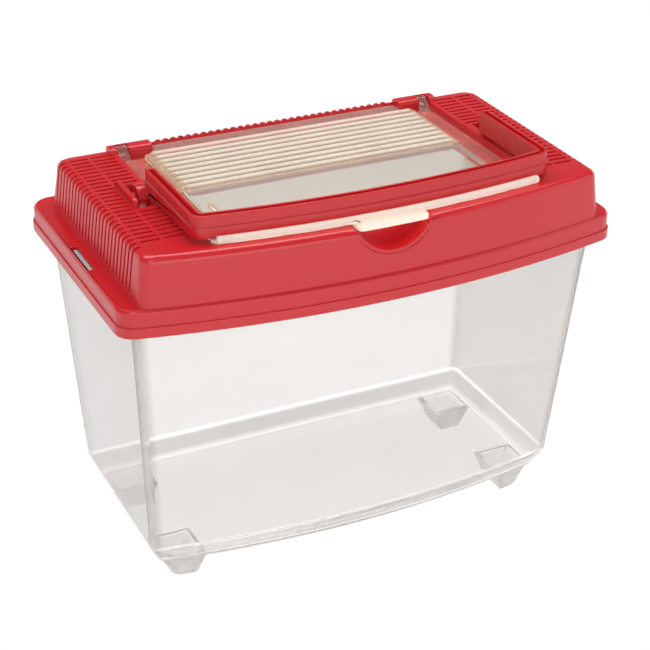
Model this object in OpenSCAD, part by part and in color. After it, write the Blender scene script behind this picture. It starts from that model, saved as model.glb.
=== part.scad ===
// Plastic pet keeper: a clear tapered tank with a bowed front, a red slotted lid that drops over its rim,
// a clear hatch in a well of the lid, hinged at its back, and a red carrying handle folded forward round it.
// X runs along the long side, the bowed front faces -Y, and Z is up from the underside of the feet.

/* [Overall] */
// Length over the skirt of the lid
lid_length = 300; // [280:1:330]
// Depth over the skirt, from the back to the middle of the bowed front
lid_depth = 174; // [166:1:190]
// Height of the top of the lid above the table
lid_top_height = 221; // [206:1:246]
// Radius of the bow that every front edge follows
bow_radius = 640; // [500:10:1200]

/* [Tank] */
// Wall of the clear tank
tank_wall = 2.2; // [1.6:0.1:3]
// Height of the feet, up to the underside of the floor
foot_height = 13.5; // [11:0.5:18]
// Height of the bevel between the floor and the walls
bevel_height = 13.4; // [8:0.2:16]
// How far the floor stands in from the foot of the walls
bevel_inset = 7; // [4:0.5:9]
// How far the tank's end walls stand in from the skirt at its lower edge
end_inset = 10; // [8:0.5:14]
// How far the tank's back wall stands in from the skirt
back_inset = 9; // [7:0.5:14]
// How far the tank's front wall stands in from the skirt
front_inset = 10.5; // [8:0.5:16]
// Lean of the end walls over the height of the tank
end_draft = 9.3; // [6:0.1:14]
// Lean of the back wall over the height of the tank
back_draft = 12; // [6:0.5:15]
// Lean of the front wall over the height of the tank
front_draft = 15; // [8:0.5:18]
// Corner radius of the tank
tank_corner = 4; // [3:0.5:8]
// Length of a foot along X at its top
foot_x = 27.5; // [20:0.5:34]
// Length of a foot along Y at its top
foot_y = 26; // [18:1:32]
// Taper of a foot towards the table, on its sides that face along X
foot_taper = 6.3; // [3:0.1:8]
// Taper of a foot on its front and back
foot_side_taper = 1.5; // [0.5:0.1:4]

/* [Lid] */
// Wall of the lid
lid_wall = 2.2; // [1.8:0.1:3]
// Height of the skirt
skirt_height = 15.6; // [14:0.2:20]
// Height of the thicker lip at the foot of the skirt
lip_height = 6; // [3:0.5:8]
// How far the lip stands proud of the skirt
lip_proud = 0.8; // [0.4:0.1:1.2]
// Corner radius of the skirt
skirt_corner = 11; // [8:0.5:14]
// Height of the raised middle above the ledge
hip_height = 28.1; // [26:0.1:36]
// Width of the ledge at the ends of the lid
end_ledge = 10.3; // [9:0.1:13]
// Width of the ledge along the back
back_ledge = 11; // [9:0.5:13]
// Width of the ledge along the front
front_ledge = 2; // [1.5:0.1:4]
// Lean of the raised middle's sides
hip_lean = 3.4; // [2:0.1:5]
// Lean of the raised middle's bowed front face
hip_front_lean = 1.2; // [0.6:0.1:2]
// Rounding of the raised middle's top edges
hip_round = 4; // [2:0.5:5]
// Corner radius of the raised middle
hip_corner = 7; // [5:0.5:10]
// Gap between the tank's rim and the inside of the skirt
rim_gap = 0.6; // [0.5:0.1:1]

/* [Air slots] */
// Pitch of the slots at the ends of the lid
slot_pitch = 5; // [4.5:0.1:6]
// Width of a slot
slot_width = 1.9; // [1.5:0.1:2.4]
// Number of slots down each end
slot_count = 26; // [20:1:26]
// Distance from the back of the skirt to the first slot
slot_start = 17; // [16:0.5:22]
// Height of the foot of a slot above the ledge
slot_foot = 3.6; // [3:0.2:6]
// Width of the bars between the three rows of slots
slot_bar = 1.6; // [1.2:0.1:2]
// Length of a slot of the middle row
middle_row = 11; // [8:0.5:11.5]
// Pitch of the ribs along the back
comb_pitch = 4.75; // [4.5:0.05:6]
// Number of ribs along the back
comb_count = 32; // [20:1:32]
// Height of the ribs' round ends above the lid
comb_rise = 1.1; // [0.8:0.1:1.6]

/* [Hatch] */
// Width of the front lip of the hatch
hatch_width = 195; // [180:1:196]
// Distance from the front of the lid to the front of the hatch, in the middle
hatch_margin = 5.2; // [4:0.1:8]
// Thickness of the hatch
hatch_wall = 1.8; // [1.4:0.1:2]
// Depth of the well that the hatch lies in
well_depth = 6; // [5.8:0.1:7]
// Height of the ribbed panel above the flange round it
panel_rise = 3; // [2:0.1:3]
// How far the ends of the panel stand in from the ends of the front lip
panel_inset = 9.5; // [8:0.5:14]
// Pitch of the ribs on the hatch
hatch_rib_pitch = 6.5; // [6:0.1:8]
// Number of ribs on the hatch
hatch_rib_count = 9; // [6:1:9]
// Radius of a rib on the hatch
hatch_rib_radius = 2.4; // [1.8:0.1:2.6]
// Radius of the round front lip
lip_radius = 2.2; // [1.8:0.1:2.3]
// Gap between the finger tab and the sides of its notch
tab_gap = 0.5; // [0.4:0.1:3]
// Radius of a hinge pin of the hatch
hatch_pin = 1.5; // [1.2:0.1:1.6]
// Gap between the hatch and the lid
hatch_gap = 0.1; // [0.1:0.05:0.3]

/* [Handle] */
// Width over the handle's arms
handle_width = 214; // [210:1:216]
// Thickness of the arms and of the bar
arm_thickness = 6; // [5:0.2:6.4]
// Height of the arms and of the bar
arm_height = 12.6; // [10:0.2:14]
// How far the front of the bar stands behind the front of the hatch
bar_setback = 4.6; // [4:0.1:6]
// Corner radius of the handle
handle_corner = 8; // [7:0.5:12]
// Depth of the channel in the top of the handle
channel_depth = 3; // [1:0.5:5]
// Width of the walls beside that channel
channel_wall = 1.5; // [1.2:0.1:2]
// Radius of a handle pin
handle_pin = 2.5; // [2:0.1:2.8]
// Radial play of both pairs of pins in their bores
pin_play = 0.06; // [0.03:0.01:0.1]
// Radius of the ears that carry the handle pins
ear_radius = 7; // [6:0.2:7.4]

/* [Finger notch] */
// Half width of the notch at the top of the lid
notch_half_width = 22; // [18:0.5:24]
// Depth of the notch down the front face
notch_depth = 15; // [10:0.5:18]
// How far the notch reaches back under the tab
notch_reach = 12; // [9:0.5:13]

/* [Hidden] */
$fn = 48;
thin = 0.01;
cut = 1; // how far a cut runs past the face that it opens
over = 30; // the same, upwards through everything above
bow_steps = 28;
corner_steps = 6;
round_steps = 4;

// bevel round the top of the skirt
skirt_bevel = 1.5;
skirt_bevel_run = 1;

// levels
lid_top = lid_top_height;
ledge_top = lid_top - hip_height;
skirt_bottom = ledge_top - skirt_height;
rim_top = ledge_top - lid_wall;
floor_top = foot_height + tank_wall;
base_top = foot_height + bevel_height;

// outline of the skirt
half_length = lid_length / 2;
half_depth = lid_depth / 2;

// raised middle, at its foot and at its top
hip_x = half_length - end_ledge;
hip_back = half_depth - back_ledge;
hip_front = -half_depth + front_ledge;
top_x = hip_x - hip_lean;
top_back = hip_back - hip_lean / 2;
top_front = hip_front + hip_front_lean;

// tank, at the lower edge of the skirt, at the foot of its walls and at the edge of its floor
tank_x = half_length - end_inset;
tank_back = half_depth - back_inset;
tank_front = -half_depth + front_inset;
base_x = tank_x - end_draft;
base_back = tank_back - back_draft;
base_front = tank_front + front_draft;
floor_x = base_x - bevel_inset;
floor_back = base_back - bevel_inset;
floor_front = base_front + bevel_inset;
rim_stretch = (rim_top - base_top) / (skirt_bottom - base_top);
foot_inset = 0.8;
foot_round = 2.5;
foot_round_run = 1.2;
foot_corner = 6;
rim_x = half_length - lip_proud - lid_wall - rim_gap;

// handle, which the rows of slots and the sides of the hatch keep clear of
pivot_y = 6;
pivot_drop = 0.7;
pivot_z = lid_top - pivot_drop;
handle_lift = 2.5;
handle_bottom = lid_top + handle_lift;
handle_top = handle_bottom + arm_height;
handle_front = top_front + hatch_margin + bar_setback;
arm_outer = handle_width / 2;
arm_end_gap = 0.3;
arm_back = pivot_y - pivot_drop - arm_end_gap;
band_step = 0.5;
ear_play = 0.4;
ear_width = 5.5;
pin_bare = 3.4;
pin_hold = 1.7;
pin_end_play = 0.2;

// pockets and lugs that carry the handle
pocket_inner = arm_outer - ear_play;
pocket_outer = arm_outer + ear_width + pin_bare;
pocket_half = 16;
pocket_wall = 1.5;
pocket_depth = 3;
pocket_bottom = pivot_z - ear_radius - pocket_depth;
lug_width = 2.5;
lug_rise = 4.6;
lug_round = 4;
lug_outer = pocket_outer + lug_width;

// rows of slots, from the end inwards
row_inset = 0.6;
row_a_inner = top_x - hip_round - row_inset;
row_b_outer = row_a_inner - slot_bar;
row_b_inner = row_b_outer - middle_row;
row_c_outer = row_b_inner - slot_bar;
row_c_overlap = 3;
row_c_inner = arm_outer - row_c_overlap;
slot_rows_b = slot_count - 2;

// hatch, which lies in a well between the handle's arms, with its front edge over the lid
hatch_x = hatch_width / 2;
hatch_front = top_front + hatch_margin;
hatch_bottom = lid_top + hatch_gap;
hatch_top = hatch_bottom + hatch_wall;
lip_lift = 0.1;
lip_z = hatch_bottom + lip_radius + lip_lift;
arm_gap = 0.8;
flange_x = arm_outer - arm_thickness - arm_gap;
flange_corner = 4;
well_gap = 1;
well_x = flange_x + well_gap;
well_floor = lid_top - well_depth;
flange_bottom = well_floor + hatch_gap;
flange_top = flange_bottom + hatch_wall;

// ribbed panel of the hatch, hollow from beneath
panel_x = hatch_x - panel_inset;
panel_front_inset = 11;
panel_front = hatch_front + panel_front_inset;
panel_top = flange_top + panel_rise;
panel_corner = 5;
well_front = panel_front - well_gap;
opening_inset = 2;
rib_nose = 1.6;
hook_x = 79;
hook_y = -26;
hook_length = 14;
hook_width = 2;

// hinge of the hatch
hinge_inset = 5;
hinge_y = top_back - hinge_inset;
hinge_lift = 1;
hinge_z = panel_top + hinge_lift;
knuckle_radius = 2.8;
knuckle_inner = 94.6;
knuckle_gap = 0.6;
hinge_room = 0.5;
hinge_back = hinge_y + knuckle_radius + hinge_room;
hump_inner = 80;
hump_outer = knuckle_inner - knuckle_gap;
hump_end = well_x + 4;
hump_reach = 5;
hump_front = hinge_y - hump_reach;
hump_cover = 1.6;
hump_top = hinge_z + hatch_pin + hump_cover;
hump_round = 3;
hatch_pin_length = 4.5;
flange_inset = 7;
flange_back = hinge_y - flange_inset;
panel_back_inset = 1.5;
panel_back = flange_back - panel_back_inset;
apron_gap = 0.9;
apron_x = hump_inner - knuckle_gap;
apron_back = hinge_back - apron_gap;
ear_foot = 4;

// finger notch: an arc with an outward fillet at each end
notch_radius = (notch_half_width * notch_half_width + notch_depth * notch_depth) / (2 * notch_depth);
notch_z = lid_top - notch_depth + notch_radius;
fillet = 5;
fillet_z = lid_top - fillet;
fillet_x = sqrt(pow(notch_radius + fillet, 2) - pow(notch_z - fillet_z, 2));
notch_back = top_front + notch_reach;
tab_thickness = 2.4;
tab_rise = 0.6;
tab_top = hatch_bottom + tab_rise;
tab_bottom = tab_top - tab_thickness;
tab_x = fillet_x - sqrt(fillet * fillet - pow(tab_bottom - fillet_z, 2)) - tab_gap;
tab_inset = 0.4;
tab_front = top_front + tab_inset;
tab_back = notch_back - tab_gap;
tab_corner = 3;

// ledge holes and the beads beside them
ledge_hole_x = 4;
ledge_hole_y = 30.5;
ledge_hole_edge = 2;
bead = 0.4;
bead_height = 1.2;
bead_drop = 4.5;
bead_z = rim_top - bead_drop;

lid_red = [0.86, 0.20, 0.22];
clear = [0.85, 0.87, 0.86, 0.45];

// Points on an arc about c
function arc(c, r, a0, a1, steps) =
    [for (i = [0:steps]) c + r * [cos(a0 + (a1 - a0) * i / steps), sin(a0 + (a1 - a0) * i / steps)]];

// Outline with straight ends and back, a bowed front whose middle is at y = front, and rounded corners
function bowed(x, back, front, r) =
    let (
        centre = [0, front + bow_radius],
        corner = [x - r, centre[1] - sqrt(pow(bow_radius - r, 2) - pow(x - r, 2))],
        turn = atan2(corner[1] - centre[1], corner[0])
    )
    concat(
        arc(centre, bow_radius, -180 - turn, turn, bow_steps),
        arc(corner, r, turn, 0, corner_steps),
        arc([x - r, back - r], r, 0, 90, corner_steps),
        arc([-x + r, back - r], r, 90, 180, corner_steps),
        arc([-corner[0], corner[1]], r, 180, 180 - turn, corner_steps)
    );

// Y of the bowed front at x, for a front whose middle is at y = front
function front_at(x, front) = front + bow_radius - sqrt(bow_radius * bow_radius - x * x);

module slab(z, points) translate([0, 0, z]) linear_extrude(thin) polygon(points);

module plate(z0, z1, points) translate([0, 0, z0]) linear_extrude(z1 - z0) polygon(points);

// A profile drawn in X and Z, carried along Y from y0 to y1
module along_y(y0, y1) translate([0, y1, 0]) rotate([90, 0, 0]) linear_extrude(y1 - y0) children();

// A profile drawn in Y and Z, carried along X from x0 to x1
module along_x(x0, x1) translate([x0, 0, 0]) rotate([90, 0, 90]) linear_extrude(x1 - x0) children();

module both_ends() {
    children();
    mirror([1, 0, 0]) children();
}

// The tapered walls, from the bevel up to z1; an inset gives the space inside them
module tank_walls(inset, z1) {
    hull() {
        slab(base_top, bowed(base_x - inset, base_back - inset, base_front + inset, tank_corner - inset / 2));
        slab(z1 - thin, bowed(base_x + end_draft * rim_stretch - inset,
            base_back + back_draft * rim_stretch - inset,
            base_front - front_draft * rim_stretch + inset, tank_corner - inset / 2));
    }
}

// The steep bevel between the walls and the floor
module tank_bevel(inset, z0) {
    hull() {
        slab(base_top, bowed(base_x - inset, base_back - inset, base_front + inset, tank_corner - inset / 2));
        slab(z0, bowed(floor_x - inset, floor_back - inset, floor_front + inset, tank_corner - inset / 2));
    }
}

// Four corner blocks, tapered on every side; an inset gives their hollows
module feet(inset, z0, z1) {
    x_top = floor_x - foot_x + inset;
    y_back = floor_back - foot_y + inset;
    y_front = front_at(floor_x, floor_front) + foot_y - inset;
    intersection() {
        hull()
            for (level = [[z1, 0, 0, tank_corner],
                    [z0 + foot_round, foot_taper, foot_side_taper, foot_corner],
                    [z0, foot_taper + foot_round_run, foot_side_taper + foot_round_run, foot_corner]]) {
                in_x = foot_inset + inset + level[1];
                in_y = foot_inset + inset + level[2];
                slab(level[0], bowed(floor_x - in_x, floor_back - in_y, floor_front + in_y, level[3]));
            }
        both_ends()
            along_y(-half_depth, half_depth)
                polygon([[x_top, z1 + cut], [half_length, z1 + cut],
                    [half_length, z0], [x_top + foot_taper, z0]]);
        union() {
            along_x(-half_length, half_length)
                polygon([[y_back, z1 + cut], [half_depth, z1 + cut],
                    [half_depth, z0], [y_back + foot_side_taper, z0]]);
            along_x(-half_length, half_length)
                polygon([[y_front, z1 + cut], [-half_depth, z1 + cut],
                    [-half_depth, z0], [y_front - foot_side_taper, z0]]);
        }
    }
}

module tank() {
    color(clear)
    difference() {
        union() {
            tank_walls(0, rim_top);
            tank_bevel(0, foot_height);
            feet(0, 0, foot_height + tank_wall / 2);
            plate(rim_top - tank_wall, rim_top, bowed(rim_x, half_depth - lip_proud - lid_wall - rim_gap,
                -half_depth + lip_proud + lid_wall + rim_gap, skirt_corner - lid_wall));
        }
        tank_walls(tank_wall, rim_top + cut);
        tank_bevel(tank_wall, floor_top);
        feet(tank_wall, tank_wall, floor_top + cut);
    }
}

module hip(inset, z0, z1) {
    round_edge = hip_round - inset / 2;
    hull() {
        slab(z0, bowed(hip_x - inset, hip_back - inset, hip_front + inset, hip_corner - inset));
        for (i = [0:round_steps]) {
            a = 90 * i / round_steps;
            in = round_edge * (1 - cos(a)) + inset;
            slab(z1 - round_edge * (1 - sin(a)) - thin,
                bowed(top_x - in, top_back - in, top_front + in, hip_corner - inset));
        }
    }
}

module skirt() {
    inner = lid_wall + lip_proud;
    difference() {
        union() {
            plate(skirt_bottom, skirt_bottom + lip_height,
                bowed(half_length, half_depth, -half_depth, skirt_corner));
            hull()
                for (level = [[skirt_bottom, lip_proud], [ledge_top - skirt_bevel, lip_proud],
                        [ledge_top - thin, lip_proud + skirt_bevel_run]])
                    slab(level[0], bowed(half_length - level[1], half_depth - level[1],
                        -half_depth + level[1], skirt_corner));
        }
        plate(skirt_bottom - cut, rim_top,
            bowed(half_length - inner, half_depth - inner, -half_depth + inner, skirt_corner - lid_wall));
    }
}

module slot_cut(x0, x1, z0, y) {
    both_ends()
        translate([x0, y - slot_width / 2, z0])
            cube([x1 - x0, slot_width, lid_top + over - z0]);
}

function slot_y(i) = half_depth - slot_start - slot_pitch * i;

module air_slots() {
    for (i = [0:slot_count - 1])
        slot_cut(row_a_inner, half_length, ledge_top + slot_foot, slot_y(i));
    for (i = [1:slot_rows_b])
        slot_cut(row_b_inner, row_b_outer, lid_top - lid_wall - cut, slot_y(i));
    for (i = [1:slot_rows_b])
        if (abs(slot_y(i) - pivot_y) > pocket_half + slot_pitch / 2)
            slot_cut(row_c_inner, row_c_outer, lid_top - lid_wall - cut, slot_y(i));
}

function comb_x(i) = comb_pitch * (i - (comb_count - 1) / 2);

// Slots through the back wall, below the well
module back_slots() {
    foot = ledge_top + slot_foot;
    for (i = [0:comb_count - 2])
        translate([(comb_x(i) + comb_x(i + 1) - slot_width) / 2, hinge_back, foot])
            cube([slot_width, half_depth, well_floor - lid_wall - foot]);
}

// Wall behind the hinge, with a row of round rib ends along its top
module comb() {
    r = comb_pitch / 2;
    along_y(hinge_back, top_back) {
        translate([-hump_inner - cut, well_floor - lid_wall])
            square([2 * (hump_inner + cut), well_depth + lid_wall]);
        for (i = [0:comb_count - 1])
            translate([comb_x(i), lid_top + comb_rise - r]) circle(r);
    }
}

// Ridge that houses a hinge pin of the hatch, rounded over its top
module hump() {
    r = hump_round;
    foot = well_floor - lid_wall;
    along_x(hump_inner, hump_end)
        union() {
            translate([hump_front, foot]) square([top_back - hump_front, hump_top - r - foot]);
            translate([hump_front + r, foot]) square([top_back - hump_front - 2 * r, hump_top - foot]);
            for (y = [hump_front + r, top_back - r])
                translate([y, hump_top - r]) circle(r);
        }
}

// Wall beside the pocket, with round upper corners, that holds the handle pin
module lug() {
    r = lug_round;
    along_x(pocket_outer, lug_outer)
        union() {
            translate([pivot_y - pocket_half, pocket_bottom])
                square([2 * pocket_half, lid_top + lug_rise - r - pocket_bottom]);
            translate([pivot_y - pocket_half + r, pocket_bottom])
                square([2 * (pocket_half - r), lid_top + lug_rise - pocket_bottom]);
            for (side = [-1, 1])
                translate([pivot_y + side * (pocket_half - r), lid_top + lug_rise - r]) circle(r);
        }
}

module pocket_box() {
    x0 = pocket_inner - pocket_wall;
    y0 = pivot_y - pocket_half - pocket_wall;
    translate([x0, y0, pocket_bottom])
        cube([pocket_outer - x0 + cut, 2 * (pocket_half + pocket_wall), lid_top - pocket_bottom]);
}

module pocket_cut() {
    translate([pocket_inner, pivot_y - pocket_half, pocket_bottom - cut])
        cube([pocket_outer - pocket_inner, 2 * pocket_half, lid_top + over - pocket_bottom]);
}

module handle_bore() {
    translate([pocket_outer - cut, pivot_y, pivot_z])
        rotate([0, 90, 0]) cylinder(r = handle_pin + pin_play, h = pin_hold + pin_end_play + cut);
}

module hatch_bore() {
    depth = hatch_pin_length - knuckle_gap + pin_end_play;
    translate([hump_outer - depth, hinge_y, hinge_z])
        rotate([0, 90, 0]) cylinder(r = hatch_pin + pin_play, h = depth + cut);
}

// Walls and floor of the well
module well_box() {
    plate(well_floor - lid_wall, lid_top, bowed(well_x + lid_wall, top_back - lid_wall / 2,
        well_front - lid_wall, flange_corner + well_gap + lid_wall));
}

// Space of the well, room behind it for the hatch and its knuckles, and the opening under the panel
module well_cut() {
    room = [hinge_back - hump_front + cut, well_depth + over];
    plate(well_floor, lid_top + over, bowed(well_x, hump_front, well_front, flange_corner + well_gap));
    translate([-hump_inner, hump_front - cut, well_floor]) cube([2 * hump_inner, room[0], room[1]]);
    both_ends()
        translate([hump_outer, hump_front - flange_corner - well_gap, well_floor])
            cube([well_x - hump_outer, room[0] + flange_corner, room[1]]);
    plate(well_floor - lid_wall - cut, lid_top, bowed(panel_x - opening_inset,
        panel_back - opening_inset, panel_front + opening_inset, panel_corner));
}

module notch_profile() {
    translate([0, notch_z]) circle(notch_radius, $fn = 120);
    difference() {
        translate([-fillet_x, lid_top - fillet]) square([2 * fillet_x, fillet + over]);
        for (side = [-1, 1]) translate([side * fillet_x, fillet_z]) circle(fillet);
    }
}

// Trough that lines the notch behind the front face
module notch_lining() {
    intersection() {
        hip(0, ledge_top, lid_top);
        along_y(-half_depth, notch_back + lid_wall)
            intersection() {
                translate([0, notch_z]) circle(notch_radius + lid_wall, $fn = 120);
                translate([-half_length, 0]) square([lid_length, lid_top - tab_thickness]);
            }
    }
}

module ledge_hole() {
    translate([half_length - ledge_hole_edge - ledge_hole_x, -ledge_hole_y / 2, rim_top - cut])
        cube([ledge_hole_x, ledge_hole_y, lid_wall + 2 * cut]);
}

// Shallow bead inside the skirt below the ledge hole, which grips the tank's rim
module rim_bead() {
    x = half_length - lip_proud - lid_wall;
    translate([x - bead, -ledge_hole_y / 2, bead_z]) cube([bead + cut, ledge_hole_y, bead_height]);
}

module lid() {
    color(lid_red)
    difference() {
        union() {
            difference() {
                union() {
                    skirt();
                    hip(0, rim_top, lid_top);
                }
                hip(lid_wall, rim_top - thin, lid_top - lid_wall);
                air_slots();
                back_slots();
            }
            notch_lining();
            well_box();
            comb();
            both_ends() {
                hump();
                lug();
                pocket_box();
                rim_bead();
            }
        }
        well_cut();
        along_y(-half_depth - cut, notch_back) notch_profile();
        both_ends() {
            pocket_cut();
            handle_bore();
            hatch_bore();
            ledge_hole();
        }
    }
}

module hatch_rib(y) {
    reach = panel_x - 2 * hatch_rib_radius;
    translate([0, y, panel_top]) {
        translate([-reach, 0, 0]) rotate([0, 90, 0]) cylinder(r = hatch_rib_radius, h = 2 * reach);
        both_ends()
            translate([reach, 0, 0])
                rotate([0, 90, 0]) cylinder(r1 = hatch_rib_radius, r2 = hatch_rib_radius / 2, h = rib_nose);
    }
}

// Round lip along the bowed front edge
module hatch_lip() {
    r = bow_radius - lip_radius;
    reach = asin((hatch_x - lip_radius) / r);
    translate([0, hatch_front + bow_radius, lip_z])
        rotate([0, 0, -90 - reach])
            rotate_extrude(angle = 2 * reach, $fn = 720) translate([r, 0]) circle(lip_radius, $fn = 24);
}

// Front edge of the hatch, stepped up from the panel over the lid
module front_step() {
    difference() {
        union() {
            plate(hatch_bottom, hatch_top,
                bowed(hatch_x, panel_back, hatch_front + lip_radius, flange_corner));
            plate(panel_top - hatch_wall, hatch_top,
                bowed(panel_x - panel_corner, panel_back, panel_front, hatch_wall));
        }
        plate(panel_top - hatch_wall - cut, hatch_top + cut,
            bowed(hatch_x + cut, panel_back + cut, panel_front + hatch_wall, flange_corner));
    }
}

module finger_tab() {
    intersection() {
        plate(tab_bottom, tab_top, bowed(tab_x, tab_back, tab_front, tab_corner));
        translate([-tab_x, -half_depth, 0]) cube([2 * tab_x, half_depth, lid_top + over]);
    }
}

// Back edge of the panel, which reaches to the wall behind the hinge
module apron() {
    translate([-apron_x, panel_back - hatch_wall, panel_top - hatch_wall])
        cube([2 * apron_x, apron_back - panel_back + hatch_wall, hatch_wall]);
}

// Knuckle that rises from the back corner of the flange, with its pin
module knuckle() {
    front = flange_back - hatch_wall;
    along_x(knuckle_inner, flange_x) {
        translate([hinge_y, hinge_z]) circle(knuckle_radius);
        polygon([[front, flange_bottom], [front + ear_foot, flange_bottom],
            [hinge_y + knuckle_radius / 2, hinge_z - knuckle_radius * 0.8], [hinge_y, hinge_z],
            [hinge_y - knuckle_radius * 0.8, hinge_z + knuckle_radius / 2], [front, flange_top]]);
    }
    translate([knuckle_inner - hatch_pin_length, hinge_y, hinge_z])
        rotate([0, 90, 0]) cylinder(r = hatch_pin, h = hatch_pin_length + cut);
}

module hatch() {
    color(clear)
    difference() {
        union() {
            difference() {
                union() {
                    plate(flange_bottom, flange_top,
                        bowed(flange_x, flange_back, panel_front, flange_corner));
                    plate(flange_bottom, panel_top, bowed(panel_x, panel_back, panel_front, panel_corner));
                }
                plate(flange_bottom - cut, panel_top - hatch_wall, bowed(panel_x - hatch_wall,
                    panel_back - hatch_wall, panel_front + hatch_wall, panel_corner - hatch_wall));
            }
            front_step();
            hatch_lip();
            finger_tab();
            apron();
            both_ends() knuckle();
            for (i = [0:hatch_rib_count - 1])
                hatch_rib(panel_back - hatch_wall - hatch_rib_radius - hatch_rib_pitch * i);
        }
        for (side = [-1, 1])
            translate([side * hook_x - hook_width / 2, hook_y - hook_length / 2,
                    panel_top - hatch_wall - cut])
                cube([hook_width, hook_length, hatch_wall + 2 * cut]);
    }
}

function handle_outline(inset) =
    bowed(arm_outer - inset, arm_outer, handle_front + inset, max(handle_corner - inset, 1));

// Band of the handle between two insets, cut off square at the arms' back ends
module handle_band(z0, z1, outer, inner) {
    difference() {
        plate(z0, z1, handle_outline(outer));
        plate(z0 - cut, z1 + cut, handle_outline(inner));
        translate([-half_length, arm_back, z0 - cut]) cube([lid_length, lid_depth, z1 - z0 + 2 * cut]);
    }
}

module ear() {
    translate([arm_outer, pivot_y, pivot_z])
        rotate([0, 90, 0]) cylinder(r = ear_radius, h = ear_width);
    translate([arm_outer - cut, pivot_y - ear_radius / 2, handle_bottom])
        cube([2 * cut, arm_back - pivot_y + ear_radius / 2, ear_radius / 3]);
    translate([arm_outer + ear_width - cut, pivot_y, pivot_z])
        rotate([0, 90, 0]) cylinder(r = handle_pin, h = pin_bare + pin_hold + cut);
}

module handle() {
    middle = handle_bottom + arm_height / 2;
    color(lid_red)
    union() {
        difference() {
            union() {
                handle_band(handle_bottom, middle, 0, arm_thickness);
                handle_band(middle, handle_top, band_step, arm_thickness);
            }
            difference() {
                handle_band(handle_top - channel_depth, handle_top + cut, band_step + channel_wall,
                    arm_thickness - channel_wall);
                translate([-half_length, arm_back - channel_wall, 0])
                    cube([lid_length, lid_depth, lid_top + over]);
            }
        }
        both_ends() ear();
    }
}

tank();
lid();
hatch();
handle();
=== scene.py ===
# %% [markdown]
# A plastic pet keeper is four mouldings: a clear tank, a red lid, a clear hatch in the lid and a
# red carrying handle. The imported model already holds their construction, with every wall, slot, rib
# and hinge. This lesson dresses it: it gives each moulding softly rounded edges, a finish of its
# own, and the plain bright studio in which such an article is shown.

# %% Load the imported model
import math

import bmesh
import bpy
from mathutils import Matrix, Vector


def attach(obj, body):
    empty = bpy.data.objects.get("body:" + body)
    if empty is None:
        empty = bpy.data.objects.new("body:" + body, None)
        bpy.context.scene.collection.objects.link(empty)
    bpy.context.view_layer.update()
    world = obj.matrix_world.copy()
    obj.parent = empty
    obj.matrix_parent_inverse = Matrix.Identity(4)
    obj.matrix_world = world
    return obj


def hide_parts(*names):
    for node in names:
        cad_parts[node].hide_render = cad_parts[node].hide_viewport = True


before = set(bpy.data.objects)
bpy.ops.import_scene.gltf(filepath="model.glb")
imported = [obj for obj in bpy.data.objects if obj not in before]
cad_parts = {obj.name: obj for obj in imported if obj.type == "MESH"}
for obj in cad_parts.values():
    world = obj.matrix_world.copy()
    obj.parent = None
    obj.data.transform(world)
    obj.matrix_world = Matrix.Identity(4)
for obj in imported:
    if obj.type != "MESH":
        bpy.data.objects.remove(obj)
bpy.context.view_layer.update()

MM = 0.001

# %% [markdown]
# The camera stands 26 degrees to the left of the keeper's front and looks down on it by 28 degrees.
# A long lens keeps the sides nearly parallel. The camera could be aimed with a constraint. Here it
# is built from its direction, its distance and how far it is moved sideways and up, because those
# are the numbers that a photographer would note.

# %% Camera
AZIMUTH = math.radians(25.99)
ELEVATION = math.radians(28.28)
ROLL = math.radians(0.62)
DISTANCE = 1062.6 * MM
PAN_RIGHT = 4.66 * MM
PAN_UP = 84.04 * MM
AIM = Vector((0, 8.85 * MM, 19.5 * MM))
SENSOR_WIDTH = 36.0
IMAGE_WIDTH = 650
FOCAL_PIXELS = 1705.2
NEAREST_SEEN = 10 * MM

back = Vector((-math.sin(AZIMUTH) * math.cos(ELEVATION),
               -math.cos(AZIMUTH) * math.cos(ELEVATION),
               math.sin(ELEVATION)))
level_right = Vector((math.cos(AZIMUTH), -math.sin(AZIMUTH), 0))
level_up = back.cross(level_right)
right = math.cos(ROLL) * level_right + math.sin(ROLL) * level_up
up = math.cos(ROLL) * level_up - math.sin(ROLL) * level_right
stand = AIM + back * DISTANCE + right * PAN_RIGHT + up * PAN_UP

bpy.ops.object.select_all(action="DESELECT")
bpy.ops.object.camera_add()
camera = bpy.context.object
camera.name = "camera"
camera.data.sensor_width = SENSOR_WIDTH
camera.data.lens = FOCAL_PIXELS / IMAGE_WIDTH * SENSOR_WIDTH
camera.data.clip_start = NEAREST_SEEN
camera.matrix_world = (Matrix.Translation(stand)
                       @ Matrix((right, up, back)).transposed().to_4x4())
bpy.context.scene.camera = camera
print("lens in mm:", round(camera.data.lens, 1))

# %% [markdown]
# Procedural finishes are sums and products of patterns. Written with nodes alone they are hard to
# read, so one small class wraps a node's output, and the arithmetic signs on it add the Math nodes.
# Every node comes from one function, which takes its kind, its settings and what its inputs get.


# %% Arithmetic on nodes
class Wire:
    """One output of a node. Arithmetic on it adds Math nodes to the same tree."""

    def __init__(self, tree, socket):
        self.tree = tree
        self.socket = socket

    def output(self, name):
        """Another output of the same node."""
        return Wire(self.tree, self.socket.node.outputs[name])

    def __add__(self, other):
        return maths("ADD", self, other)

    def __sub__(self, other):
        return maths("SUBTRACT", self, other)

    def __rsub__(self, other):
        return maths("SUBTRACT", other, self)

    def __mul__(self, other):
        return maths("MULTIPLY", self, other)

    def __abs__(self):
        return maths("ABSOLUTE", self)

    __radd__ = __add__
    __rmul__ = __mul__


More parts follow.
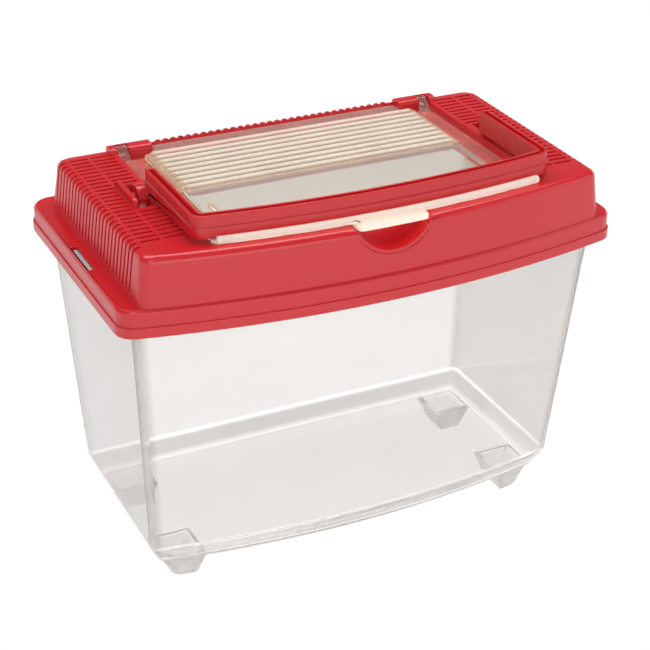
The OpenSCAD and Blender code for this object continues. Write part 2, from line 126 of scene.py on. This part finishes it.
def add_node(tree, kind, settings=None, inputs=None, output=0):
    """Adds a node with its settings and inputs, and gives back one of its outputs as a Wire."""
    node = tree.nodes.new(kind)
    for name, value in (settings or {}).items():
        setattr(node, name, value)
    for name, value in (inputs or {}).items():
        if isinstance(value, Wire):
            tree.links.new(value.socket, node.inputs[name])
        else:
            node.inputs[name].default_value = value
    return Wire(tree, node.outputs[output]) if node.outputs else None


def maths(operation, *values):
    """A Math node on wires and numbers, of which at least one is a wire."""
    tree = next(value.tree for value in values if isinstance(value, Wire))
    return add_node(tree, "ShaderNodeMath", {"operation": operation}, dict(enumerate(values)))


print("arithmetic on wires: +, -, * and abs")

# %% [markdown]
# A finish could be laid on with a UV map, but these mouldings have no wrapping that the eye would
# follow. So it reads its patterns at a point of the object, in metres: every pattern then moves
# with its piece, and a place on it can be named by its real size.


# %% A finish and its surface
def new_finish(name):
    """A material with an empty tree, and the point of the object that patterns are read at."""
    finish = bpy.data.materials.new(name)
    finish.use_nodes = True
    finish.node_tree.nodes.clear()
    return finish, add_node(finish.node_tree, "ShaderNodeTexCoord", output="Object")


def with_surface(finish, shader):
    """The finish, with the shader as its surface."""
    add_node(finish.node_tree, "ShaderNodeOutputMaterial", None, {"Surface": shader})
    print(finish.name, "has", len(finish.node_tree.nodes), "nodes")
    return finish


# %% [markdown]
# A few words are enough for all the finishes here: the three axes of a point, a slope between two
# values, a blend of two colours, a soft noise, bumps, and a mix of two shaders.


# %% Patterns
def axes(vector):
    """The X, Y and Z of a vector, each as a Wire."""
    split = add_node(vector.tree, "ShaderNodeSeparateXYZ", None, {"Vector": vector})
    return [split.output(name) for name in "XYZ"]


def slope(wire, low, high):
    """0 up to low, 1 from high on, and straight between them."""
    return add_node(wire.tree, "ShaderNodeMapRange", {"clamp": True},
                    {"Value": wire, "From Min": low, "From Max": high})


def blend(factor, first, second):
    """The first colour where factor is 0 and the second where it is 1."""
    return add_node(factor.tree, "ShaderNodeMix", {"data_type": "RGBA"},
                    {"Factor": factor, "A": first, "B": second}, 2)


def noise(place, size, detail, roughness=0.5):
    """A soft pattern whose patches are about size metres across, from 0 to 1."""
    return add_node(place.tree, "ShaderNodeTexNoise", None, {
        "Vector": place, "Scale": 1 / size, "Detail": detail, "Roughness": roughness}, "Fac")


def bumps(pattern, height, strength):
    """A normal that is tilted as if the pattern stood up from the surface by height metres."""
    return add_node(pattern.tree, "ShaderNodeBump", None,
                    {"Strength": strength, "Distance": height, "Height": pattern}, "Normal")


def mix_shaders(factor, first, second):
    """The first shader where factor is 0 and the second where it is 1."""
    return add_node(first.tree, "ShaderNodeMixShader", None, {0: factor, 1: first, 2: second})


# %% [markdown]
# Both clear mouldings are polystyrene, which is hard, bright and slightly grey. A transparent
# shader would be quicker, but a real wall bends light at each of its two faces, so the finish is a
# true refracting one on walls of real thickness. Moulded walls are never quite flat: a very slow,
# faint wave in the surface bends what is seen through them. Cheap clear plastic also holds a little
# haze, which scatters light, so a share of a diffuse and a translucent shader is mixed in. Rays
# that look for a lamp go straight through with a faint shadow: the renderer doesn't bend those, and
# what lies under the hatch and inside the tank would be too dark.

# %% Clear plastic
PLASTIC_IOR = 1.5
SHADOW_TINT = (0.90, 0.89, 0.88, 1)
NO_LIGHT = (0, 0, 0, 1)
WAVE_SIZE = 60 * MM
SMEAR_SIZE = 25 * MM
BRIGHTEST_POLISH = 0.015
POLISH_CHANGE = 0.03
HAZE_LEAST = 0.8
HAZE_CHANGE = 0.4


def clear_plastic(place, tint, wave_height, haze, haze_colour, painted_glow=NO_LIGHT):
    """A refracting shader on faintly wavy walls, with a share of milky haze from 0 to 1.

    painted_glow is a glow painted where the wall turns: a painted highlight that no lamp gives.
    """
    tree = place.tree
    smear = noise(place, SMEAR_SIZE, 3.0)
    clear = add_node(tree, "ShaderNodeBsdfPrincipled", None, {
        "Base Color": tint,
        "Roughness": BRIGHTEST_POLISH + smear * POLISH_CHANGE,
        "Transmission Weight": 1.0,
        "IOR": PLASTIC_IOR,
        "Emission Color": painted_glow,
        "Emission Strength": 1.0,
        "Normal": bumps(noise(place, WAVE_SIZE, 1.0), wave_height, 1.0),
    })
    front_lit = add_node(tree, "ShaderNodeBsdfDiffuse", None, {"Color": haze_colour})
    back_lit = add_node(tree, "ShaderNodeBsdfTranslucent", None, {"Color": haze_colour})
    milk = mix_shaders(0.5, front_lit, back_lit)
    plastic = mix_shaders(haze * (HAZE_LEAST + smear * HAZE_CHANGE), clear, milk)
    let_through = add_node(tree, "ShaderNodeBsdfTransparent", None, {"Color": SHADOW_TINT})
    lamp_ray = add_node(tree, "ShaderNodeLightPath", output="Is Shadow Ray")
    return mix_shaders(lamp_ray, plastic, let_through)


# %% [markdown]
# On the tank the thick rounded places are what shows. A finish finds them with masks, which are 1
# on the place and 0 off it. They could be painted, but masks made from sizes stay sharp and can be
# read. They come from the height and from how far a point is from the walls. The walls lean
# outwards, so each has its place at its foot and its lean for each metre above that.


# %% Masks on the tank
def within(wire, width):
    """1 at 0 and 0 from width on, on either side."""
    return 1 - slope(abs(wire), 0, width)


def near(wire, reach):
    """1 up to half of reach, and 0 from reach on."""
    return 1 - slope(wire, reach / 2, reach)


def highest(first, *others):
    """The highest of some wires, at each point."""
    for other in others:
        first = maths("MAXIMUM", first, other)
    return first


FLOOR_UNDER = 13.5 * MM
FLOOR_TOP = 15.7 * MM
BAND_TOP = 26.9 * MM
SIDE_WALL, SIDE_LEAN = 130.7 * MM, 0.062
BACK_WALL, BACK_LEAN = 66.0 * MM, 0.077
FRONT_CORNER, FRONT_LEAN = 48.7 * MM, 0.083
RIM_FRONT, RIM_BOW = 54.5 * MM, 0.79
RIM_FROSTED, RIM_REACH = 1 * MM, 4 * MM
CORNER_ROUND = 4.5 * MM
END_WALL = 8 * MM
EDGE_LINE = 1.4 * MM
FLOOR_LINE_LIFT = 0.8 * MM
FLOOR_LINE_START = 0.4 * MM
FEET_FROSTED, FEET_CLEAR = 1.2 * MM, 0.4 * MM
LINES_FAINT, LINES_FULL = -60 * MM, 30 * MM


def tank_masks(place):
    """Masks for the places of the tank that look different from its plain walls."""
    x, y, height = axes(place)
    side = abs(x)
    rise = height - BAND_TOP
    to_side = rise * SIDE_LEAN + SIDE_WALL - side
    to_back = rise * BACK_LEAN + BACK_WALL - y
    to_front = y + rise * FRONT_LEAN + FRONT_CORNER
    to_rim_front = y + RIM_FRONT - side * side * RIM_BOW
    return {
        "corner": near(to_side, CORNER_ROUND) * near(maths("MINIMUM", to_back, to_front),
                                                     CORNER_ROUND),
        "end_wall": near(to_side, END_WALL),
        "rim": (1 - slope(to_rim_front, RIM_FROSTED, RIM_REACH)) * within(height - FLOOR_UNDER,
                                                                          RIM_REACH),
        "feet": 1 - slope(height, FLOOR_UNDER - FEET_FROSTED, FLOOR_UNDER - FEET_CLEAR),
        "wall_line": within(rise, EDGE_LINE),
        "floor_line": within(height - FLOOR_TOP - FLOOR_LINE_LIFT, EDGE_LINE) * slope(
            height, FLOOR_TOP, FLOOR_TOP + FLOOR_LINE_START),
        "band": (1 - slope(height, BAND_TOP - EDGE_LINE, BAND_TOP)) * slope(
            height, FLOOR_TOP, FLOOR_TOP + EDGE_LINE),
        "away": slope(y, LINES_FAINT, LINES_FULL),
        "back_half": slope(y, 0, LINES_FULL),
    }


# %% [markdown]
# Bright lines are painted on as a glow at the foot of the walls, at the edge of the floor and a
# little at the upright corners. They are painted highlights, stronger at the back than at the front.
# The sloping band between the first two is painted a darker grey at the back, as shade. The corners,
# the rim under the floor and the hollow feet are frosted by the mould, and the end walls are a little
# hazier than the long ones and are painted a darker grey, as shade.

# %% Tank finish
WALL_CLEAR = (0.985, 0.975, 0.963, 1)
# Painted shade: this grey is laid on the sloping band at the back and on the end walls.
BAND_SHADE_GREY = (0.70, 0.68, 0.665, 1)
MILK_GREY = (0.70, 0.682, 0.668, 1)
# A painted highlight: the colour of the glow painted along the rounded edges of the walls and floor.
PAINTED_LINE_GLOW = (0.5, 0.495, 0.48, 1)
FLOOR_LINE_HIGHLIGHT = 0.6
FRONT_HIGHLIGHT = 0.35
CORNER_HIGHLIGHT = 0.1
BAND_SHADE_SHARE = 1.3
END_WALL_SHADE_SHARE = 0.7
FROSTED = {"feet": 0.28, "rim": 0.5, "corner": 0.3, "end_wall": 0.06}
TANK_HAZE = 0.08
TANK_WAVE = 0.05 * MM


def tank_finish():
    """Clear plastic with painted highlight lines, painted grey shade on the band, and frosted feet.
    """
    finish, place = new_finish("tank_clear")
    mask = tank_masks(place)
    # Painted highlights: a glow is painted at the foot of the walls, the floor edge and the corners.
    lines = mask["wall_line"] + mask["floor_line"] * FLOOR_LINE_HIGHLIGHT
    painted_highlights = (lines * (mask["away"] * (1 - FRONT_HIGHLIGHT) + FRONT_HIGHLIGHT)
             + mask["corner"] * CORNER_HIGHLIGHT)
    # Painted shade: the band at the back and the end walls are painted a darker grey.
    painted_shade = highest(mask["band"] * mask["back_half"] * BAND_SHADE_SHARE,
                     mask["end_wall"] * END_WALL_SHADE_SHARE)
    haze = sum(mask[name] * share for name, share in FROSTED.items()) + TANK_HAZE
    return with_surface(finish, clear_plastic(
        place, blend(painted_shade, WALL_CLEAR, BAND_SHADE_GREY), TANK_WAVE, haze, MILK_GREY,
        painted_glow=blend(painted_highlights, NO_LIGHT, PAINTED_LINE_GLOW)))


tank_clear = tank_finish()

# %% [markdown]
# The hatch is creamier than the tank. Its thick front lip and finger tab are nearly opaque and
# bright, and the ribs are milky cream on their crests, a painted highlight. The valleys between the
# ribs, their ends, the sides of the raised panel and the edges of the two hook slots are painted
# gold-brown, as shade. The flat flange stays clear enough to show the red lid under it. Cutting the
# hatch into pieces with a finish each would leave hard seams, so it is masks again that find the
# places.

# %% Places on the hatch
LIP_BACK, LIP_FADE = -64 * MM, 4 * MM
PANEL_SIDE, PANEL_FADE, PANEL_EDGE = 88 * MM, 2 * MM, 2.5 * MM
PANEL_TOP = 219.9 * MM
PANEL_FROM, PANEL_FULL = 1 * MM, 0.5 * MM
RIB_FRONT, RIB_BACK, RIB_FADE = 2 * MM, 59.2 * MM, 0.5 * MM
RIB_HEIGHT = 2.4 * MM
CREST_FROM, CREST_FULL = 0.45 * RIB_HEIGHT, 0.85 * RIB_HEIGHT
RIB_END_FROM, RIB_END_FULL = 6.5 * MM, 3 * MM
HOOK_ACROSS, HOOK_WIDTH = 79 * MM, 2 * MM
HOOK_ALONG, HOOK_LENGTH = -26 * MM, 14 * MM
HOOK_EDGE = 1.2 * MM
HATCH_CLEAR = (0.79, 0.735, 0.665, 1)
# Painted shade: the gold below is laid on the valleys, rib ends, panel sides and hook slot edges.
SHADE_GOLD_TINT = (0.82, 0.60, 0.40, 1)
LIP_CREAM = (0.96, 0.91, 0.83, 1)
SHADE_GOLD_MILK = (0.76, 0.58, 0.40, 1)
print("ribs stand", round(RIB_HEIGHT / MM, 1), "mm above a panel that lies at",
      round(PANEL_TOP / MM, 1), "mm")

# %% [markdown]
# Where the hatch is painted gold-brown, as shade, it is less milky: the haze is a sum of shares, one
# for each place.

# %% Hatch finish
LIP_HAZE = 0.85
# A painted highlight: the crests are made milky cream.
CREST_HIGHLIGHT_HAZE = 0.65
VALLEY_HAZE = 0.25
RIB_END_HAZE = 0.3
PANEL_HAZE = 0.12
HATCH_HAZE = 0.1
# How strongly the valleys and the hook slots are painted with gold-brown shade.
VALLEY_SHADE = 0.8
HOOK_SLOT_SHADE = 0.9
HATCH_WAVE = 0.03 * MM


def hatch_finish():
    """Clear plastic with a cream lip, crests painted cream as highlights, and gold-brown painted
    shade.
    """
    finish, place = new_finish("hatch_clear")
    x, y, height = axes(place)
    side = abs(x)
    lip = 1 - slope(y, LIP_BACK - LIP_FADE, LIP_BACK)
    on_panel = slope(height, PANEL_TOP - PANEL_FROM, PANEL_TOP - PANEL_FULL) * (
        1 - slope(side, PANEL_SIDE - PANEL_FADE, PANEL_SIDE))
    panel_edge = within(side - PANEL_SIDE, PANEL_EDGE) * (1 - lip)
    ribbed = slope(y, RIB_FRONT, RIB_FRONT + RIB_FADE) * (
        1 - slope(y, RIB_BACK, RIB_BACK + RIB_FADE))
    crest = slope(height, PANEL_TOP + CREST_FROM, PANEL_TOP + CREST_FULL)
    valley = ribbed * (1 - crest) * on_panel
    rib_end = ribbed * on_panel * slope(side, PANEL_SIDE - RIB_END_FROM, PANEL_SIDE - RIB_END_FULL)
    hook_slot = within(side - HOOK_ACROSS, HOOK_WIDTH / 2 + HOOK_EDGE) * within(
        y - HOOK_ALONG, HOOK_LENGTH / 2 + HOOK_EDGE)
    # Painted shade: gold-brown is painted on the valleys, rib ends, panel sides and hook slot edges.
    painted_gold_shade = highest(valley * VALLEY_SHADE, panel_edge, rib_end,
                     slope(hook_slot, 0, 0.05) * HOOK_SLOT_SHADE)
    haze = (lip * LIP_HAZE + ribbed * crest * (1 - rib_end) * CREST_HIGHLIGHT_HAZE + valley * VALLEY_HAZE
            + rib_end * RIB_END_HAZE + on_panel * (1 - painted_gold_shade) * PANEL_HAZE + HATCH_HAZE)
    return with_surface(finish, clear_plastic(
        place, blend(painted_gold_shade, HATCH_CLEAR, SHADE_GOLD_TINT), HATCH_WAVE, haze,
        blend(painted_gold_shade, LIP_CREAM, SHADE_GOLD_MILK)))


hatch_clear = hatch_finish()

# %% [markdown]
# Light that is caught inside a clear wall bounces many times before it leaves. With the usual
# limits the thick places would go black, so the renderer is allowed more bounces.

# %% Light inside the walls
tracer = bpy.context.scene.cycles
tracer.max_bounces = 32
tracer.glossy_bounces = 16
tracer.transmission_bounces = 24
tracer.transparent_max_bounces = 24
print("bounces through clear walls:", tracer.transmission_bounces)

# %% [markdown]
# The lid and the handle are dyed all through and let a little light in, which makes thin ribs glow
# and inner corners go deep red. A plain red would look painted, so a little of the light is
# scattered under the surface. A satin tooled surface has a very fine grain and slow changes of
# gloss.

# %% Red plastic
DYE_CLOUD = 45 * MM
CLOUD_SHARE = 0.5
GLOSS_FLOW = 30 * MM
SATIN_LEAST = 0.285
SATIN_CHANGE = 0.08
TOOL_GRAIN = 0.35 * MM
GRAIN_HEIGHT = 0.02 * MM
GRAIN_STRENGTH = 0.35
GLOW_SHARE = 0.25
GLOW_DEPTH = 1 * MM
GLOW_REACH = (3.0, 0.4, 0.35)


def red_finish(name, colour, deep, gloss):
    """Satin dyed plastic that drifts slowly from its colour towards a deeper one."""
    finish, place = new_finish(name)
    return with_surface(finish, add_node(place.tree, "ShaderNodeBsdfPrincipled", None, {
        "Base Color": blend(noise(place, DYE_CLOUD, 2.0) * CLOUD_SHARE, colour, deep),
        "Roughness": SATIN_LEAST + noise(place, GLOSS_FLOW, 2.0) * SATIN_CHANGE,
        "IOR": PLASTIC_IOR,
        "Specular IOR Level": gloss,
        "Subsurface Weight": GLOW_SHARE,
        "Subsurface Radius": GLOW_REACH,
        "Subsurface Scale": GLOW_DEPTH,
        "Normal": bumps(noise(place, TOOL_GRAIN, 2.0, 0.6), GRAIN_HEIGHT, GRAIN_STRENGTH),
    }))


lid_red = red_finish(
    "lid_red", colour=(0.61, 0.007, 0.014, 1), deep=(0.54, 0.004, 0.011, 1), gloss=0.75)
handle_red = red_finish(
    "handle_red", colour=(0.58, 0.007, 0.012, 1), deep=(0.50, 0.004, 0.010, 1), gloss=0.7)

# %% [markdown]
# The foot of the tank's walls and the edge of its floor have a larger round than other edges, and
# the painted bright lines run along it. A Bevel modifier gives one width to a whole piece, so these
# edges are found by their height and rounded by the bevel operator, as by hand.

# %% Rounds along level edges
LEVEL_TOLERANCE = 0.05 * MM
SHARP = math.radians(12)
FILLET_STEPS = 4


def round_level_edges(piece, height, radius):
    """Rounds the sharp edges that lie level at one height of a piece in edit mode."""
    mesh = bmesh.from_edit_mesh(piece.data)
    for face in mesh.faces:
        face.select = False
    rounded = 0
    for edge in mesh.edges:
        level = all(abs(vert.co.z - height) < LEVEL_TOLERANCE for vert in edge.verts)
        edge.select = level and len(edge.link_faces) == 2 and edge.calc_face_angle() > SHARP
        rounded += edge.select
    mesh.select_flush_mode()
    bmesh.update_edit_mesh(piece.data)
    bpy.ops.mesh.bevel(offset=radius, segments=FILLET_STEPS, affect="EDGES", clamp_overlap=True)
    print(piece.name, "has", rounded, "edges rounded by", round(radius / MM, 1), "mm")


# %% [markdown]
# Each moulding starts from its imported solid, because that is what fits and moves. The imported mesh
# is loose triangles, so a copy of it is merged first. Its sharp edges get the small round that
# every moulded edge has, and weighted normals keep the flat faces flat beside these rounds. The
# copy then stands for the solid.


# %% One moulding
MERGE_DISTANCE = 0.015 * MM
ROUND_STEPS = 2


def moulding(node, name, finish, edge_round, edge_angle, smooth_angle, fillets=()):
    """A merged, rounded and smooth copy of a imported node, which replaces it."""
    bpy.ops.object.select_all(action="DESELECT")
    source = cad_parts[node]
    source.select_set(True)
    bpy.context.view_layer.objects.active = source
    bpy.ops.object.duplicate()
    piece = bpy.context.object
    piece.name = name
    piece.data.name = name
    piece.parent = None
    for key in list(piece.keys()):
        del piece[key]

    bpy.ops.object.mode_set(mode="EDIT")
    bpy.ops.mesh.select_all(action="SELECT")
    bpy.ops.mesh.remove_doubles(threshold=MERGE_DISTANCE)
    for height, radius in fillets:
        round_level_edges(piece, height, radius)
    bpy.ops.object.mode_set(mode="OBJECT")

    rounding = piece.modifiers.new("edge_round", "BEVEL")
    rounding.width = edge_round
    rounding.segments = ROUND_STEPS
    rounding.limit_method = "ANGLE"
    rounding.angle_limit = math.radians(edge_angle)
    rounding.use_clamp_overlap = False
    rounding.harden_normals = False
    bpy.ops.object.modifier_apply(modifier=rounding.name)
    bpy.ops.object.shade_smooth_by_angle(angle=math.radians(smooth_angle))
    flatten = piece.modifiers.new("flat_faces_stay_flat", "WEIGHTED_NORMAL")
    flatten.keep_sharp = True
    bpy.ops.object.modifier_apply(modifier=flatten.name)

    piece.data.materials.clear()
    piece.data.materials.append(finish)
    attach(piece, node)
    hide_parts(node)
    print(name, "has", len(piece.data.polygons), "faces")


# %% [markdown]
# The rounds differ with the moulding: the thin clear hatch has the crispest edges, and the handle,
# which has to be kind to the hand, the softest. The tank's shading is smoothed over very small
# bends alone. Where it ran on across the bend between the walls and the sloping band, all that is
# seen through the walls would have a kink.

# %% The four mouldings
moulding("tank", "tank_shell", tank_clear,
         edge_round=0.4 * MM, edge_angle=24, smooth_angle=4,
         fillets=[(BAND_TOP, 2 * MM), (FLOOR_TOP, 1.5 * MM)])
moulding("lid", "lid_shell", lid_red,
         edge_round=0.3 * MM, edge_angle=28, smooth_angle=38)
moulding("hatch", "hatch_shell", hatch_clear,
         edge_round=0.2 * MM, edge_angle=28, smooth_angle=38)
moulding("handle", "handle_shell", handle_red,
         edge_round=0.5 * MM, edge_angle=28, smooth_angle=38)

# %% [markdown]
# The studio is a white room with a dim ceiling. Clear and glossy plastic show mostly what is round
# them, so the room counts for more than the lamps do: the upright faces mirror the bright floor and
# look hazy, while the top mirrors the ceiling and keeps its deep colour. Only mirrored rays see the
# dim ceiling. All others see white, so the clear walls stay bright.

# %% White room
SURROUND_LEVEL = 0.62
CEILING_FROM = 0.05
CEILING_FULL = 0.35
CEILING_LEVEL = 0.05


def sees_background(tree):
    """1 for rays that see the background: directly, mirrored or through clear plastic."""
    path = add_node(tree, "ShaderNodeLightPath")
    return highest(*[path.output(name) for name in (
        "Is Camera Ray", "Is Glossy Ray", "Is Transmission Ray")])


world = bpy.data.worlds.new("white_room")
bpy.context.scene.world = world
world.use_nodes = True
tree = world.node_tree
tree.nodes.clear()
upwards = axes(add_node(tree, "ShaderNodeTexCoord", output="Generated"))[2]
ceiling = slope(upwards, CEILING_FROM, CEILING_FULL)
mirrored = add_node(tree, "ShaderNodeLightPath", output="Is Glossy Ray")
level = (sees_background(tree) * (1 - SURROUND_LEVEL) + SURROUND_LEVEL
         - ceiling * mirrored * (1 - CEILING_LEVEL))
room = add_node(tree, "ShaderNodeBackground", None, {"Color": (1, 1, 1, 1), "Strength": level})
add_node(tree, "ShaderNodeOutputWorld", None, {"Surface": room})
print("the room's light has", len(tree.nodes), "nodes")

# %% [markdown]
# The floor is plain white paper. Lit by the lamps alone it would come out grey, and a brighter lamp
# would bleach the keeper. So it adds a light of its own to what the camera sees of it, and stays
# white while it keeps the soft shadow under the feet. To all other rays it is paper.

# %% Floor
FLOOR_SIZE = 12.0
FLOOR_DROP = 0.02 * MM
PAPER_WHITE = (0.8, 0.8, 0.8, 1)
SHADED_PAPER = (0.12, 0.12, 0.12, 1)
OWN_LIGHT = 0.90

bpy.ops.object.select_all(action="DESELECT")
bpy.ops.mesh.primitive_plane_add(size=FLOOR_SIZE, location=(0, 0, -FLOOR_DROP))
floor = bpy.context.object
floor.name = "studio_floor"
floor_white, place = new_finish("floor_white")
tree = place.tree
paper = add_node(tree, "ShaderNodeBsdfDiffuse", None, {"Color": PAPER_WHITE})
shaded = add_node(tree, "ShaderNodeBsdfDiffuse", None, {"Color": SHADED_PAPER})
glow = add_node(tree, "ShaderNodeEmission", None, {"Color": (1, 1, 1, 1), "Strength": OWN_LIGHT})
lit = add_node(tree, "ShaderNodeAddShader", None, {0: shaded, 1: glow})
floor.data.materials.append(with_surface(
    floor_white, mix_shaders(sees_background(tree), paper, lit)))

# %% [markdown]
# Four large soft lamps: one from the front left shapes the keeper, a weak one opens the shadows at
# the right, a long strip above draws the pale lines on the rounded upper edges, and a low strip at
# the front clears the bowed wall.

# %% Lamps
LAMPS_FACE = Vector((0, 0, 0.12))


def softbox(name, place, width, height, power):
    """A rectangular area lamp that faces the middle of the keeper."""
    bpy.ops.object.light_add(type="AREA", location=place)
    lamp = bpy.context.object
    lamp.name = name
    lamp.data.shape = "RECTANGLE"
    lamp.data.size = width
    lamp.data.size_y = height
    lamp.data.energy = power
    towards = LAMPS_FACE - Vector(place)
    lamp.rotation_euler = towards.to_track_quat("-Z", "Y").to_euler()
    print(name, "gives", power, "W from", round(towards.length, 2), "m")


softbox("key_softbox", place=(-0.8, -1.1, 1.1), width=0.5, height=0.5, power=4.0)
softbox("fill_softbox", place=(1.3, -0.9, 0.8), width=0.6, height=0.6, power=1.5)
softbox("top_strip", place=(0.1, 0.3, 1.5), width=1.6, height=0.3, power=12.0)
softbox("front_strip", place=(-0.1, -1.5, 0.32), width=1.2, height=0.4, power=3.5)

# %% [markdown]
# The Standard view shows the colours as they are, where a film-like one would grey the white floor
# and dull the red.

# %% Colour view
bpy.context.scene.view_settings.view_transform = "Standard"
